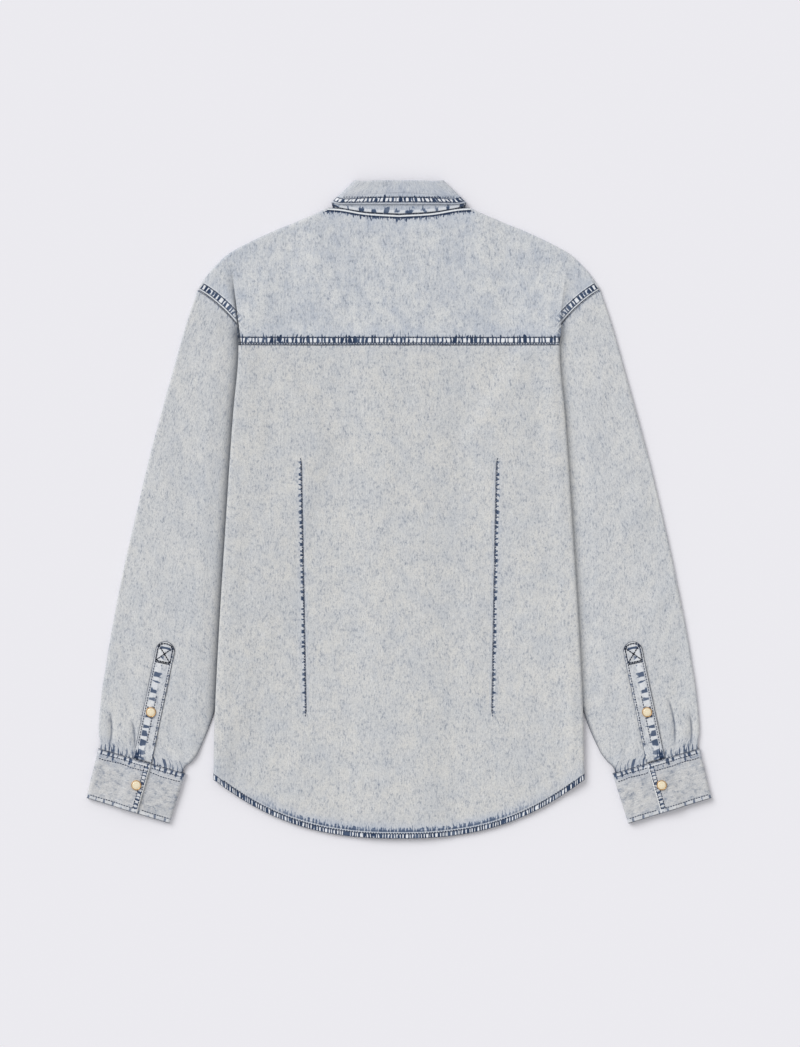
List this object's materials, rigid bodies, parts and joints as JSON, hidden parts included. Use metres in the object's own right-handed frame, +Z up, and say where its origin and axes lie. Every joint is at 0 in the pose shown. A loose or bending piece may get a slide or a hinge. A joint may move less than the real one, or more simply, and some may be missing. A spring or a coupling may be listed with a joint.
{
  "type": "denim shirt",
  "caption": "Long-sleeved denim shirt laid flat face down, with a yoke, back darts, a shirt collar, cuffs and snap fasteners.",
  "frame": {"origin": "centre of the shirt's outline, on the surface it lies on", "axes": "+Z up from the surface, towards the shirt's back; +Y towards the collar; the wearer's left is on the -X side"},
  "size_m": [0.7492, 0.7885, 0.0125],
  "materials": {
    "denim": "pale acid-washed indigo denim, matt",
    "denim_band": "acid-washed denim in bands, stitched and puckered",
    "snap_brass": "polished warm brass",
    "snap_pearl": "moulded ivory pearl"
  },
  "bodies": {
    "root": {"back": "denim", "yoke": "denim", "front_left": "denim", "front_right": "denim", "sleeve_left": "denim", "sleeve_right": "denim", "placket_front": "denim_band", "collar_stand": "denim_band", "collar_leaf": "denim_band", "cuff_left": "denim_band", "cuff_right": "denim_band", "sleeve_placket_left": "denim_band", "sleeve_placket_right": "denim_band", "snap_cuff_left_cup": "snap_brass", "snap_cuff_left_pearl": "snap_pearl", "snap_cuff_right_cup": "snap_brass", "snap_cuff_right_pearl": "snap_pearl", "snap_sleeve_left_cup": "snap_brass", "snap_sleeve_left_pearl": "snap_pearl", "snap_sleeve_right_cup": "snap_brass", "snap_sleeve_right_pearl": "snap_pearl", "snap_front_0_cup": "snap_brass", "snap_front_0_pearl": "snap_pearl", "snap_front_1_cup": "snap_brass", "snap_front_1_pearl": "snap_pearl", "snap_front_2_cup": "snap_brass", "snap_front_2_pearl": "snap_pearl", "snap_front_3_cup": "snap_brass", "snap_front_3_pearl": "snap_pearl", "snap_front_4_cup": "snap_brass", "snap_front_4_pearl": "snap_pearl", "snap_front_5_cup": "snap_brass", "snap_front_5_pearl": "snap_pearl", "snap_front_6_cup": "snap_brass", "snap_front_6_pearl": "snap_pearl"}
  },
  "joints": []
}
